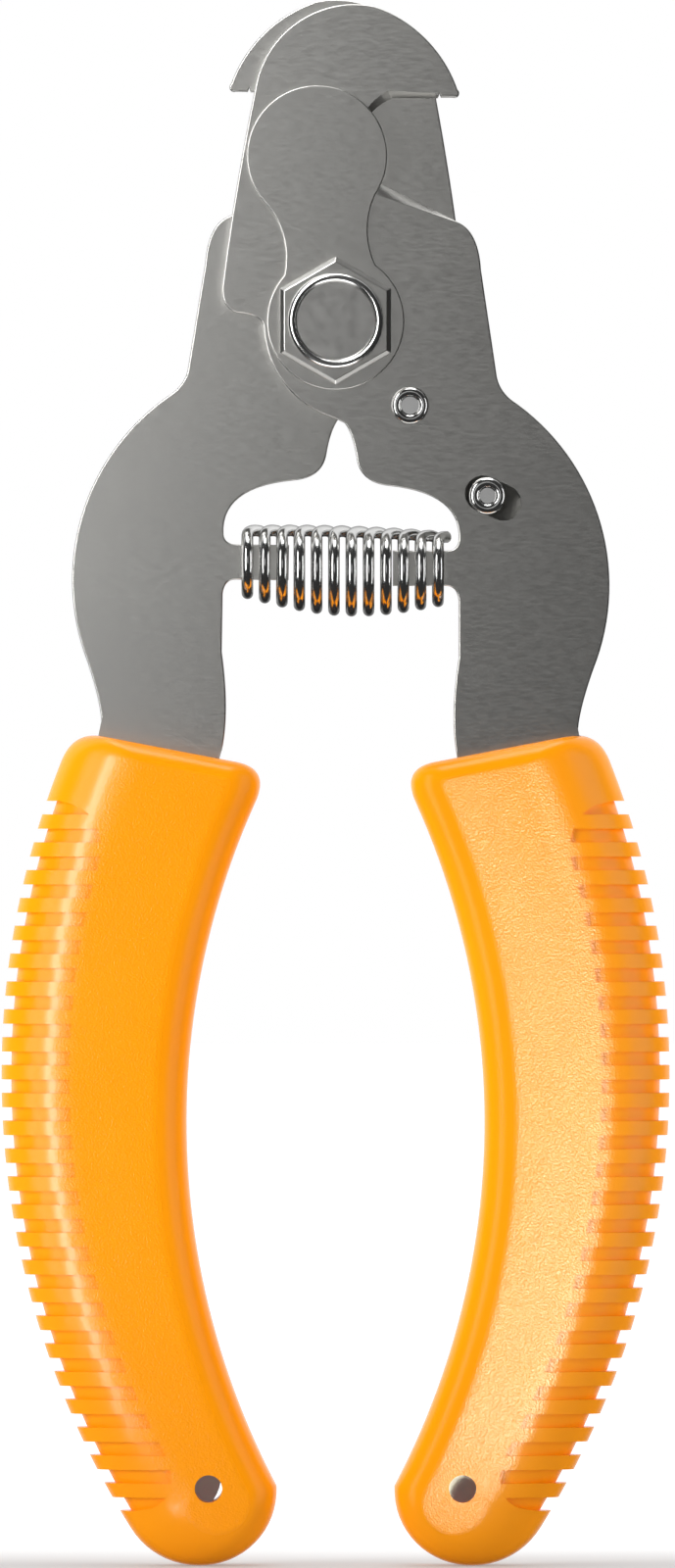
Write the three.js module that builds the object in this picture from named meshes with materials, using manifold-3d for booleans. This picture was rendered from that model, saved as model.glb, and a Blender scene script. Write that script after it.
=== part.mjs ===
// Plier-type nail clipper for pets: two crossed steel handle plates that shear past each other,
// vinyl grips, a barrel spring between the handles, a swinging nail guard and a sliding lock.
// Millimetres. X to the right, Z up, the front faces -Y. Shapes are drawn around the pivot,
// and the last group lifts the pivot to its height above the grip ends.
import * as THREE from 'three';
import { mergeVertices } from 'three/addons/utils/BufferGeometryUtils.js';
import Module from 'manifold-3d';

const wasm = await Module();
wasm.setup();

// ---- driving sizes ----
const pivotHeight = 126.9;        // pivot above the grip ends
const plateThickness = 2.4;
const bladeGap = 0.2;             // between the two sliding faces
const runningGap = 0.1;           // around turning shanks
const seatGap = 0.1;              // between stacked faces
const rearTilt = 0.85;            // degrees by which the rear handle is squeezed further in
const rearShift = [1.45, 0.5];    // the rear pivot hole lies off the mirrored one by this

const gripThickness = 12.5;
const gripEdgeRadius = 3;
const gripEndRadius = 8.05;
const gripBelly = 34.1;           // furthest reach of a grip from the middle plane
const gripTop = -42.4;
const ribCount = 25;
const ribBandTop = -50.3;
const ribBandFoot = 5.6;          // above the grip end
const ribBandWidth = 7;
const grooveHeight = 1.38;
const grooveDepth = 1;
const gripHoleRadius = 1.4;
const gripCornerReach = [3.6, 3];  // how far each top corner's rounding runs, inner and outer
const gripEdgeSteps = 2;
const gripBendSteps = 8;
const topEdgeSlope = 0.192;
const gripHole = [gripBelly - 21.15, 7.9];    // x, and height above the grip end
const pocketGap = 0.3;

const armOuter = gripBelly - 9.4;   // sides of a plate's arm where it enters the grip
const armInner = gripBelly - 21.55;
const tangOuterInset = 3.6;
const tangInnerInset = 4.6;
const tangEndHeight = 4.2;

const boltRadius = 3.5;
const boltHeadRadius = 6.2;
const boltHeadHeight = 1.8;
const boltSlotWidth = 1.4;
const boltSlotDepth = 0.8;
const boltEndRadius = 4.85;
const boltEndFlat = 4.13;
const boltEndHeight = 0.75;
const boltHeadChamfer = [0.9, 0.7];     // across the head, and along the bolt
const washerRadius = 5.6;
const washerThickness = 0.5;
const nutAcrossFlats = 11.3;
const nutThickness = 1.6;
const nutBevel = 0.35;

const guardThickness = 0.8;
const guardFootRadius = 7;
const guardHeadRadius = 7.15;
const guardHeadCentre = [-1.9, 16.85];
const guardNeckWidth = 8.5;
const guardWaistShare = 0.47;     // of the way from foot to head
const guardFootTurn = 42;         // degrees off the guard's line where the foot's arc ends
const guardHeadTurn = 130;

const bevelWidth = 0.75;
const bevelDepth = 1.2;

const rivetHeadRadius = 1.9;
const rivetHeadFlat = 0.9;
const rivetHeadHeight = 0.7;
const guideRivet = [7.6, -8.6];
const guideRivetRadius = 1.2;
const guideRivetTail = 2.2;

const lockStud = [15.5, -17.8];
const lockStudRadius = 0.85;
const lockSlotRadius = 1.83;
const lockSlotReach = [-0.52, 1.78];    // slot end centres along the slide, from the stud
const lockDirection = [0.9116, -0.411]; // the way the slide moves to unlock
const lockStroke = 1.5;                 // from rest to locked
const lockThickness = 1.5;
const lockGap = 0.3;                    // from the front plate to the slide
const lockBarRadius = 2.7;
const lockTailReach = 2.4;              // carries on past the stud, to stay behind the slot
const lockCollarRadius = 3.3;
const lockNeckReach = 0.6;              // from the guide rivet to the bar's round end
const forkReach = 8;
const lockNoseReach = [8, 12.6];        // from the pivot, along the bar
const lockNoseWidth = 2;
const lockNoseOffset = -3.4;            // off the line from the pivot to the guide rivet
const lockClearance = 0.3;
const notchReach = [6.8, 12];           // from the pivot, along the bar
const noseDrift = 0.42;                 // sideways travel of the nose for each unit of stroke
const lockButtonRadius = 3.4;
const lockButtonHeight = 2.2;
const lockTailRadius = 1.5;
const handleOpening = 34;               // degrees between closed and open

const springWire = 1.2;
const springTurns = 11.5;
const springEndRadius = 3.2;      // to the wire's centre
const springBellyRadius = 4.05;
const springSag = 0.6;
const springEndReach = 0.4;       // from a peg's root to the wire's end
const springStepsPerTurn = 10;
const pegTop = -23.4;
const pegHeight = 3.6;
const pegLength = 5.4;
const pegRoot = armInner - 1.3;

// ---- faces through the stack, along Y ----
const frontPlateBack = -bladeGap / 2;
const frontPlateFace = frontPlateBack - plateThickness;
const rearPlateFace = -frontPlateFace;
const guardBack = frontPlateFace - 1.5 * seatGap;
const guardFace = guardBack - guardThickness;
const nutBack = guardFace - seatGap;
const nutFace = nutBack - nutThickness;
const washerFace = rearPlateFace + seatGap;
const washerBack = washerFace + washerThickness;
const boltHeadFace = washerBack + seatGap;
const boltHeadBack = boltHeadFace + boltHeadHeight;
const slideFace = frontPlateBack + lockGap + bladeGap / 2;
const slideBack = slideFace + lockThickness;

// ---- plane geometry ----
const foot = -pivotHeight;
const shortestStretch = 0.01;

function circleThrough([ax, ay], [bx, by], [cx, cy]) {
  const d = 2 * (ax * (by - cy) + bx * (cy - ay) + cx * (ay - by));
  const a2 = ax * ax + ay * ay;
  const b2 = bx * bx + by * by;
  const c2 = cx * cx + cy * cy;
  const x = (a2 * (by - cy) + b2 * (cy - ay) + c2 * (ay - by)) / d;
  const y = (a2 * (cx - bx) + b2 * (ax - cx) + c2 * (bx - ax)) / d;
  return { x, y, radius: Math.hypot(ax - x, ay - y), turnsLeft: d > 0 };
}

function arcThrough(path, through, end) {
  const start = [path.currentPoint.x, path.currentPoint.y];
  const circle = circleThrough(start, through, end);
  const from = Math.atan2(start[1] - circle.y, start[0] - circle.x);
  const to = Math.atan2(end[1] - circle.y, end[0] - circle.x);
  path.absarc(circle.x, circle.y, circle.radius, from, to, !circle.turnsLeft);
}

function sideOf(circle, height, inset = 0) {
  const rise = height - circle.y;
  return circle.x + Math.sqrt((circle.radius + inset) ** 2 - rise * rise);
}

function capsule([ax, ay], [bx, by], radius) {
  const turn = Math.atan2(by - ay, bx - ax);
  const shape = new THREE.Shape();
  shape.absarc(bx, by, radius, turn - Math.PI / 2, turn + Math.PI / 2);
  shape.absarc(ax, ay, radius, turn + Math.PI / 2, turn + 1.5 * Math.PI);
  return shape;
}

function disc([x, y], radius) {
  const shape = new THREE.Shape();
  shape.absarc(x, y, radius, 0, 2 * Math.PI);
  return shape;
}

function along([x, y], [dx, dy], distance) {
  return [x + dx * distance, y + dy * distance];
}

// ---- solid geometry ----
function upright(geometry, back) {
  return geometry.rotateX(Math.PI / 2).translate(0, back, 0);
}

// points along a closed outline: bends in equal steps, straight stretches in one
function stepped(shape, bendSteps) {
  shape.closePath();
  return shape.curves
    .filter((curve) => curve.getLength() > shortestStretch)
    .flatMap((curve) => {
      const steps = curve.isLineCurve ? 1 : bendSteps;
      return [...Array(steps).keys()].map((k) => curve.getPoint(k / steps));
    });
}

function prism(shape, face, back, bendSteps = 12) {
  const depth = back - face;
  const outline = new THREE.Shape(stepped(shape, bendSteps));
  outline.holes = shape.holes.map((hole) => new THREE.Path(stepped(hole, bendSteps)));
  const geometry = new THREE.ExtrudeGeometry(outline, { depth, bevelEnabled: false });
  return upright(geometry, back);
}

function turned(profile, segments = 20) {
  return new THREE.LatheGeometry(profile.map(([r, y]) => new THREE.Vector2(r, y)), segments);
}

function signedVolume(position, index) {
  const [a, b, c] = [new THREE.Vector3(), new THREE.Vector3(), new THREE.Vector3()];
  let volume = 0;
  for (let i = 0; i < index.count; i += 3) {
    a.fromBufferAttribute(position, index.getX(i));
    b.fromBufferAttribute(position, index.getX(i + 1));
    c.fromBufferAttribute(position, index.getX(i + 2));
    volume += a.dot(b.cross(c)) / 6;
  }
  return volume;
}

function solid(geometry) {
  const bare = geometry.clone();
  ['normal', 'uv'].forEach((name) => bare.deleteAttribute(name));
  const merged = mergeVertices(bare, 1e-4);
  const triVerts = Uint32Array.from(merged.index.array);
  if (signedVolume(merged.attributes.position, merged.index) < 0) {
    for (let i = 0; i < triVerts.length; i += 3) {
      [triVerts[i + 1], triVerts[i + 2]] = [triVerts[i + 2], triVerts[i + 1]];
    }
  }
  const vertProperties = Float32Array.from(merged.attributes.position.array);
  const mesh = new wasm.Mesh({ numProp: 3, vertProperties, triVerts });
  mesh.merge();
  return new wasm.Manifold(mesh);
}

function cut(body, ...tools) {
  return tools.reduce((rest, tool) => rest.subtract(solid(tool)), body);
}

function join(...geometries) {
  return geometries.map(solid).reduce((whole, next) => whole.add(next));
}

function geometryOf(body) {
  const { vertProperties, triVerts } = body.getMesh();
  const geometry = new THREE.BufferGeometry();
  geometry.setAttribute('position', new THREE.BufferAttribute(vertProperties, 3));
  geometry.setIndex(new THREE.BufferAttribute(triVerts, 1));
  geometry.computeVertexNormals();
  return geometry;
}

// ---- grips ----
const gripLow = foot + 12;
const gripShoulder = gripTop - 4.5;
const bellyHeight = gripShoulder + (gripLow - gripShoulder) * 0.4426;
const outerCurve = circleThrough(
  [gripBelly - 5.33, gripShoulder], [gripBelly, bellyHeight], [gripBelly - 8.62, gripLow]);
const waistHeight = (gripTop - 6 + gripLow) / 2;
const innerCurve = circleThrough(
  [gripBelly - 26.23, gripTop - 6], [gripBelly - 18.9, waistHeight], [gripBelly - 26.18, gripLow]);

// the top edge of a grip climbs towards its outer side
function topEdge(x, inset) {
  return gripTop + (x - gripBelly + 10.75) * topEdgeSlope - inset;
}

function topCorner(curve, inset, towards) {
  let height = gripTop;
  for (let pass = 0; pass < 6; pass += 1) {
    height = topEdge(sideOf(curve, height, towards * inset), inset);
  }
  return [sideOf(curve, height, towards * inset), height];
}

function gripOutline(inset) {
  const endCentre = [gripBelly - 20.05, foot + gripEndRadius];
  const endRadius = gripEndRadius - inset;
  const outwards = Math.atan2(endCentre[1] - outerCurve.y, endCentre[0] - outerCurve.x);
  const left = topCorner(innerCurve, inset, 1);
  const right = topCorner(outerCurve, inset, -1);
  const leftReach = Math.max(gripCornerReach[0] - inset, 0.5);
  const rightReach = Math.max(gripCornerReach[1] - inset * 0.8, 0.5);
  const leftStart = [sideOf(innerCurve, left[1] - leftReach, inset), left[1] - leftReach];
  const rightEnd = [sideOf(outerCurve, right[1] - rightReach, -inset), right[1] - rightReach];
  const shape = new THREE.Shape();
  shape.moveTo(...leftStart);
  shape.quadraticCurveTo(...left, left[0] + leftReach, topEdge(left[0] + leftReach, inset));
  shape.lineTo(right[0] - rightReach, topEdge(right[0] - rightReach, inset));
  shape.quadraticCurveTo(...right, ...rightEnd);
  arcThrough(shape, [outerCurve.x + outerCurve.radius - inset, outerCurve.y],
    along(endCentre, [Math.cos(outwards), Math.sin(outwards)], endRadius));
  arcThrough(shape, [endCentre[0], foot + inset], [endCentre[0] - endRadius, endCentre[1]]);
  arcThrough(shape, [innerCurve.x + innerCurve.radius + inset, innerCurve.y], leftStart);
  return shape;
}

// a stack of outlines with equal numbers of points, joined edge to edge
function lofted(layers) {
  const rings = layers.map(({ outline, y }) => (
    outline.map((point) => [point.x, y, point.y])));
  const count = rings[0].length;
  const index = [];
  for (let ring = 0; ring < rings.length - 1; ring += 1) {
    for (let k = 0; k < count; k += 1) {
      const [a, b] = [ring * count + k, ring * count + (k + 1) % count];
      index.push(a, b, b + count, a, b + count, a + count);
    }
  }
  const last = (rings.length - 1) * count;
  THREE.ShapeUtils.triangulateShape(layers[0].outline, []).forEach(([a, b, c]) => {
    index.push(a, c, b);
  });
  THREE.ShapeUtils.triangulateShape(layers[layers.length - 1].outline, []).forEach(([a, b, c]) => {
    index.push(last + a, last + b, last + c);
  });
  const geometry = new THREE.BufferGeometry();
  geometry.setAttribute('position', new THREE.Float32BufferAttribute(rings.flat(2), 3));
  geometry.setIndex(index);
  return geometry;
}

function roundedGrip(inset) {
  const radius = gripEdgeRadius - inset / 2;
  const half = gripThickness / 2 - inset;
  const layers = [];
  for (const side of [-1, 1]) {
    for (let k = 0; k <= gripEdgeSteps; k += 1) {
      const share = side < 0 ? gripEdgeSteps - k : k;
      const angle = share / gripEdgeSteps * Math.PI / 2;
      const outline = stepped(gripOutline(inset + radius * (1 - Math.cos(angle))), gripBendSteps);
      if (THREE.ShapeUtils.isClockWise(outline)) outline.reverse();
      layers.push({ outline, y: side * (half - radius + radius * Math.sin(angle)) });
    }
  }
  return lofted(layers);
}

function grooveCutters() {
  const pitch = (ribBandTop - foot - ribBandFoot) / ribCount;
  const cutters = [];
  for (let k = 0; k <= ribCount; k += 1) {
    const bottom = ribBandTop - k * pitch;
    const top = bottom + grooveHeight;
    const inner = sideOf(outerCurve, (bottom + top) / 2, -ribBandWidth);
    const outer = sideOf(outerCurve, (bottom + top) / 2, grooveDepth * 3);
    const shape = new THREE.Shape();
    shape.moveTo(inner, bottom);
    shape.lineTo(outer, bottom);
    shape.lineTo(outer, top);
    shape.lineTo(inner, top);
    shape.closePath();
    cutters.push(prism(shape, -gripThickness, gripThickness));
  }
  return cutters;
}

// ---- handle plates ----
function tangOutline(gap) {
  const outer = (height) => sideOf(outerCurve, height, gap - tangOuterInset);
  const inner = (height) => sideOf(innerCurve, height, tangInnerInset - gap);
  const mouth = gripTop + 1;
  const bodyTop = gripTop - 9.5;
  const innerTop = gripTop - 22.5;
  const endTop = foot + 8.6;
  const shape = new THREE.Shape();
  shape.moveTo(armOuter + gap, mouth);
  shape.lineTo(armInner - 0.15 - gap, mouth);
  shape.lineTo(armInner - 0.15 - gap, gripTop - 2);
  shape.lineTo(inner(innerTop), innerTop);
  arcThrough(shape, [inner(innerCurve.y), innerCurve.y], [inner(endTop), endTop]);
  const endMiddle = (inner(endTop) + outer(endTop)) / 2;
  arcThrough(shape, [endMiddle, foot + tangEndHeight - gap], [outer(endTop), endTop]);
  arcThrough(shape, [outer(outerCurve.y), outerCurve.y], [outer(bodyTop), bodyTop]);
  shape.closePath();
  return shape;
}

// the head of a plate: hook, throat, pivot disc, shoulder and the broad arm down to the grip
function headOutline() {
  const armEnd = gripTop - 2.1;
  const shape = new THREE.Shape();
  shape.moveTo(armOuter, armEnd);
  shape.lineTo(armOuter + 0.05, gripTop + 0.8);
  shape.quadraticCurveTo(armOuter + 0.2, gripTop + 2.9, armOuter + 1.6, gripTop + 6.9);
  arcThrough(shape, [armOuter + 3.25, gripTop + 15.6], [17.9, -8]);
  shape.quadraticCurveTo(16.7, -7, 16.45, -5.6);
  shape.lineTo(14.85, 5.2);
  shape.quadraticCurveTo(14.6, 9.2, 12.45, 10.1);
  shape.lineTo(3.8, 14.4);
  arcThrough(shape, [2.45, 17.3], [5.85, 22.75]);
  shape.lineTo(10.45, 22.75);
  shape.lineTo(10.6, 23.2);
  shape.lineTo(10.75, 22.8);
  shape.lineTo(12, 22.8);
  arcThrough(shape, [12.6, 23.1], [12.45, 23.6]);
  arcThrough(shape, [9.1, 28.9], [3.9, 32.1]);
  arcThrough(shape, [-5.42, 29.25], [-8.2, 23.8]);
  shape.quadraticCurveTo(-10.4, 13, -11.56, 3.6);
  shape.quadraticCurveTo(-11.7, 1.2, -9.9, 0.85);
  shape.quadraticCurveTo(-7.5, 0.7, -7.35, -0.6);
  arcThrough(shape, [-4.41, -7.31], [-0.45, -9.75]);
  shape.quadraticCurveTo(0.35, -10.1, 0.95, -10.4);
  shape.quadraticCurveTo(1.8, -11.6, 2.15, -14);
  shape.quadraticCurveTo(2.5, -16.5, 5.5, -16.8);
  shape.quadraticCurveTo(armInner + 0.35, -17.6, armInner, pegTop + 1);
  shape.quadraticCurveTo(armInner - 0.15, pegTop, pegRoot, pegTop);
  shape.lineTo(pegRoot - pegLength, pegTop);
  shape.lineTo(pegRoot - pegLength, pegTop - pegHeight);
  shape.lineTo(pegRoot, pegTop - pegHeight);
  shape.quadraticCurveTo(armInner - 0.15, pegTop - pegHeight, armInner, pegTop - pegHeight - 1.5);
  shape.lineTo(armInner, gripTop + 8);
  shape.quadraticCurveTo(armInner - 0.95, gripTop + 1.9, armInner - 0.15, armEnd);
  shape.closePath();
  return shape;
}

// the opening that the nail goes into, carried on past the plate's edge
function throatOutline() {
  const shape = new THREE.Shape();
  shape.moveTo(12.45, 10.1);
  shape.lineTo(3.8, 14.4);
  arcThrough(shape, [2.45, 17.3], [5.85, 22.75]);
  shape.lineTo(10.45, 22.75);
  shape.lineTo(16, 22.75);
  shape.lineTo(16, 10.1);
  shape.closePath();
  return shape;
}

// widest in front of the plate's face, and down to the true opening bevelDepth behind it
function throatBevel() {
  const depth = 2;
  const geometry = new THREE.ExtrudeGeometry(new THREE.Shape(stepped(throatOutline(), 10)), {
    depth, bevelEnabled: true, bevelSegments: 1,
    bevelThickness: bevelDepth, bevelSize: bevelWidth,
  });
  return upright(geometry, frontPlateFace);
}

function plateStock() {
  return cut(
    join(
      prism(headOutline(), frontPlateFace, frontPlateBack, 8),
      prism(tangOutline(0), frontPlateFace, frontPlateBack, 8),
    ),
    throatBevel(),
  );
}

// the rear handle is the same stamping turned about, then swung a little further in
const toRear = new THREE.Matrix4()
  .makeTranslation(rearShift[0], 0, rearShift[1])
  .multiply(new THREE.Matrix4().makeRotationY(THREE.MathUtils.degToRad(rearTilt)))
  .multiply(new THREE.Matrix4().makeRotationZ(Math.PI));

function pivotHole() {
  return prism(disc([0, 0], boltRadius + runningGap), frontPlateFace - 1, rearPlateFace + 1, 30);
}

function frontPlate() {
  const slotEnds = lockSlotReach.map((reach) => along(lockStud, lockDirection, reach));
  const slot = prism(capsule(...slotEnds, lockSlotRadius), frontPlateFace - 1, 0.5);
  const rivetHole = disc(guideRivet, guideRivetRadius + runningGap);
  return cut(plateStock(), pivotHole(), slot, prism(rivetHole, frontPlateFace - 1, 0.5));
}

// ---- lock: a forked bar behind the front plate, whose nose drops into the rear plate's disc ----
const barLength = Math.hypot(...guideRivet);
const barDirection = guideRivet.map((value) => value / barLength);
const barSide = [-barDirection[1], barDirection[0]];
// the round part of the rear plate that the lock works against
const rearDisc = new THREE.Vector3(2.7, 0, -0.2).applyMatrix4(toRear);
const rearDiscRadius = 10.05;

function barPoint(reach, side) {
  return along(along([0, 0], barDirection, reach), barSide, side);
}

function barBox(reachFrom, reachTo, sideFrom, sideTo) {
  const shape = new THREE.Shape();
  const corners = [[reachFrom, sideFrom], [reachTo, sideFrom], [reachTo, sideTo], [reachFrom, sideTo]];
  shape.setFromPoints(corners.map(([reach, side]) => new THREE.Vector2(...barPoint(reach, side))));
  return shape;
}

const noseSides = [lockNoseOffset - lockNoseWidth / 2, lockNoseOffset + lockNoseWidth / 2];

function lockSlide() {
  const neckStart = along(guideRivet, barDirection, lockNeckReach);
  const bar = prism(capsule(neckStart, lockStud, lockBarRadius), slideFace, slideBack);
  const tailEnd = along(lockStud, lockDirection, lockTailReach);
  const tail = prism(capsule(lockStud, tailEnd, lockBarRadius), slideFace, slideBack);
  const collar = prism(disc(guideRivet, lockCollarRadius), slideFace, slideBack);
  const clearOfDisc = rearDiscRadius + lockClearance + lockStroke;
  const discCentre = [rearDisc.x, rearDisc.z];
  const discWay = prism(disc(discCentre, clearOfDisc), slideFace - 1, slideBack + 1, 90);
  const noseWay = prism(disc(discCentre, rearDiscRadius + lockClearance), slideFace - 1, slideBack + 1, 90);
  const noseBox = barBox(...lockNoseReach, ...noseSides);
  const nose = cut(solid(prism(noseBox, slideFace, slideBack)), noseWay);
  const forkFoot = along(guideRivet, lockDirection, lockStroke);
  const forkMouth = along(guideRivet, lockDirection, -forkReach);
  const fork = prism(
    capsule(forkMouth, forkFoot, guideRivetRadius + runningGap), slideFace - 1, slideBack + 1);
  const studHole = prism(disc(lockStud, lockStudRadius + runningGap), slideFace - 1, slideBack + 1);
  return cut(cut(join(bar, tail, collar), discWay).add(nose), fork, studHole);
}

// one notch holds the handles shut, the other holds them open
function lockNotch(turn) {
  const travel = lockStroke * noseDrift;
  const shape = barBox(
    ...notchReach, noseSides[0] - travel - lockClearance, noseSides[1] + lockClearance);
  const notch = prism(shape, frontPlateBack, rearPlateFace + 1);
  return notch.rotateY(THREE.MathUtils.degToRad(turn));
}

function rearPlate() {
  const stock = geometryOf(plateStock()).applyMatrix4(toRear);
  return cut(solid(stock), pivotHole(), lockNotch(0), lockNotch(-handleOpening));
}

function gripBody() {
  const grooves = grooveCutters();
  const ribbed = cut(solid(roundedGrip(0)), ...grooves);
  return ribbed.add(solid(roundedGrip(grooveDepth)));
}

function gripHoles() {
  const centre = [gripHole[0], foot + gripHole[1]];
  return prism(disc(centre, gripHoleRadius), -gripThickness, gripThickness, 16);
}

function pocket() {
  return prism(tangOutline(pocketGap), frontPlateFace - pocketGap, frontPlateBack + pocketGap);
}

function rightGrip() {
  return cut(gripBody(), gripHoles(), pocket());
}

function leftGrip() {
  const mirrored = geometryOf(cut(gripBody(), gripHoles())).applyMatrix4(
    new THREE.Matrix4().makeScale(-1, 1, 1));
  return cut(solid(mirrored), pocket().applyMatrix4(toRear));
}

// ---- pivot ----
function pivotBolt() {
  const endFace = nutFace - seatGap - boltEndHeight;
  const ring = (boltEndRadius - boltEndFlat) / 2;
  const profile = [
    [0, endFace + ring], [boltEndFlat, endFace + ring],
    [boltEndFlat + ring * 0.4, endFace + ring * 0.25], [boltEndFlat + ring, endFace],
    [boltEndFlat + ring * 1.7, endFace + ring * 0.4], [boltEndRadius, endFace + ring * 1.3],
    [boltEndRadius, nutFace - seatGap], [boltRadius, nutFace - seatGap],
    [boltRadius, boltHeadFace], [boltHeadRadius, boltHeadFace],
    [boltHeadRadius, boltHeadBack - boltHeadChamfer[1]],
    [boltHeadRadius - boltHeadChamfer[0], boltHeadBack],
    [0, boltHeadBack],
  ];
  const slot = new THREE.BoxGeometry(boltHeadRadius * 3, boltSlotDepth * 2, boltSlotWidth);
  return cut(solid(turned(profile, 30)), slot.translate(0, boltHeadBack, 0));
}

function pivotNut() {
  const hexRadius = nutAcrossFlats / Math.sqrt(3);
  const corners = [...Array(6).keys()].map((k) => {
    const angle = (k * 60 + 30) * Math.PI / 180;
    return new THREE.Vector2(hexRadius * Math.cos(angle), hexRadius * Math.sin(angle));
  });
  const hex = new THREE.ExtrudeGeometry(new THREE.Shape(corners), {
    depth: nutThickness - 2 * nutBevel, bevelEnabled: true, bevelSegments: 1,
    bevelThickness: nutBevel, bevelSize: nutBevel, bevelOffset: -nutBevel,
  });
  const bore = prism(disc([0, 0], boltRadius + runningGap), nutFace - 1, nutBack + 1, 30);
  return cut(solid(upright(hex, nutBack - nutBevel)), bore);
}

function pivotWasher() {
  const shape = disc([0, 0], washerRadius);
  shape.holes.push(disc([0, 0], boltRadius + runningGap));
  return solid(prism(shape, washerFace, washerBack, 30));
}

// ---- nail guard ----
function guardOutline() {
  const [hx, hy] = guardHeadCentre;
  const reach = Math.hypot(hx, hy);
  const up = [hx / reach, hy / reach];
  const right = [up[1], -up[0]];
  const waist = reach * guardWaistShare;
  const onCircle = (centre, radius, degrees) => {
    const angle = THREE.MathUtils.degToRad(degrees);
    return along(along(centre, up, radius * Math.cos(angle)), right, radius * Math.sin(angle));
  };
  const shape = new THREE.Shape();
  const waistPoint = (side) => along(along([0, 0], up, waist), right, side * guardNeckWidth / 2);
  const onFoot = (degrees) => onCircle([0, 0], guardFootRadius, degrees);
  const onHead = (degrees) => onCircle(guardHeadCentre, guardHeadRadius, degrees);
  shape.moveTo(...onFoot(-guardFootTurn));
  arcThrough(shape, onFoot(180), onFoot(guardFootTurn));
  arcThrough(shape, waistPoint(1), onHead(guardHeadTurn));
  arcThrough(shape, onHead(0), onHead(-guardHeadTurn));
  arcThrough(shape, waistPoint(-1), onFoot(-guardFootTurn));
  return shape;
}

function nailGuard() {
  const hole = prism(disc([0, 0], boltRadius + runningGap), guardFace - 1, guardBack + 1, 30);
  return cut(solid(prism(guardOutline(), guardFace, guardBack, 14)), hole);
}

// ---- rivets and lock button ----
function rivetProfile(shankRadius, tailFace, tailRadius, tailHeight, flatRadius) {
  const headBack = frontPlateFace - seatGap;
  const headFace = headBack - rivetHeadHeight;
  const lip = (rivetHeadRadius - flatRadius) / 2;
  return [
    [0, headFace + 0.25], [flatRadius, headFace + 0.25], [flatRadius + lip * 0.3, headFace],
    [flatRadius + lip, headFace], [flatRadius + lip * 1.7, headFace + 0.15],
    [rivetHeadRadius, headFace + 0.45], [rivetHeadRadius, headBack], [shankRadius, headBack],
    [shankRadius, tailFace], [tailRadius, tailFace], [tailRadius, tailFace + tailHeight / 2],
    [tailRadius * 0.6, tailFace + tailHeight], [0, tailFace + tailHeight],
  ];
}

const rivetTailHeight = 0.6;
const buttonFace = slideBack + 0.15;
const buttonBack = buttonFace + lockButtonHeight;

function lockButton() {
  const bore = lockStudRadius + runningGap;
  const profile = [
    [bore, buttonFace], [lockButtonRadius, buttonFace], [lockButtonRadius, buttonBack - 0.6],
    [lockButtonRadius - 0.6, buttonBack], [bore, buttonBack], [bore, buttonFace],
  ];
  return turned(profile);
}

// ---- spring ----
const frontPegRoot = new THREE.Vector3(
  pegRoot, (frontPlateFace + frontPlateBack) / 2, pegTop - pegHeight / 2);
const rearPegRoot = frontPegRoot.clone().applyMatrix4(toRear);

class BarrelHelix extends THREE.Curve {
  getPoint(t, target = new THREE.Vector3()) {
    const belly = Math.sin(Math.PI * t);
    const radius = springEndRadius + (springBellyRadius - springEndRadius) * belly;
    const angle = 2 * Math.PI * springTurns * t - Math.PI / 2;
    const start = rearPegRoot.clone().add(new THREE.Vector3(springEndReach, 0, 0));
    const end = frontPegRoot.clone().sub(new THREE.Vector3(springEndReach, 0, 0));
    target.lerpVectors(start, end, t);
    target.z -= springSag * belly;
    target.y -= radius * Math.cos(angle);
    target.z += radius * Math.sin(angle);
    return target;
  }
}

function returnSpring() {
  const section = new THREE.Shape();
  const sides = 6;
  section.setFromPoints([...Array(sides).keys()].map((k) => {
    const angle = 2 * Math.PI * k / sides;
    return new THREE.Vector2(Math.cos(angle), Math.sin(angle)).multiplyScalar(springWire / 2);
  }));
  return new THREE.ExtrudeGeometry(section, {
    steps: springTurns * springStepsPerTurn, extrudePath: new BarrelHelix(), bevelEnabled: false,
  });
}

// ---- assembly ----
function steel(color, roughness) {
  return new THREE.MeshStandardMaterial({ color, roughness, metalness: 1 });
}

function vinyl() {
  return new THREE.MeshStandardMaterial({ color: 0xff9d14, roughness: 0.45, metalness: 0 });
}

const clipper = new THREE.Group();
const atPivot = new THREE.Group();
atPivot.position.z = pivotHeight;
clipper.add(atPivot);

function place(name, body, material, at = [0, 0]) {
  const geometry = body instanceof wasm.Manifold ? geometryOf(body) : body;
  const mesh = new THREE.Mesh(geometry, material);
  mesh.name = name;
  mesh.position.set(at[0], 0, at[1]);
  atPivot.add(mesh);
}

place('front_plate', frontPlate(), steel(0x8a8a86, 0.4));
place('rear_plate', rearPlate(), steel(0x8e8e8a, 0.4));
place('right_grip', rightGrip(), vinyl());
place('left_grip', leftGrip(), vinyl());
place('nail_guard', nailGuard(), steel(0x8c8b87, 0.42));
place('pivot_bolt', pivotBolt(), steel(0xc8c8c8, 0.15));
place('pivot_nut', pivotNut(), steel(0x8a8985, 0.4));
place('pivot_washer', pivotWasher(), steel(0xb0b0ae, 0.3));
place('guide_rivet', turned(rivetProfile(
  guideRivetRadius, slideBack + seatGap, guideRivetTail, rivetTailHeight, rivetHeadFlat)),
steel(0xd0d0d0, 0.12), guideRivet);
place('lock_slide', lockSlide(), steel(0x9a9a96, 0.35));
place('lock_stud', turned(rivetProfile(
  lockStudRadius, buttonBack + seatGap, lockTailRadius, rivetTailHeight, rivetHeadFlat - 0.1)),
steel(0xd0d0d0, 0.12), lockStud);
place('lock_button', lockButton(), steel(0xb8b8b6, 0.25), lockStud);
place('return_spring', returnSpring(), steel(0xd8d8d8, 0.1));

export default clipper;
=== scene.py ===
"""Plier-type pet nail clipper: handle plates, vinyl grips, guard, pivot, lock and spring."""
import math

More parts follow.
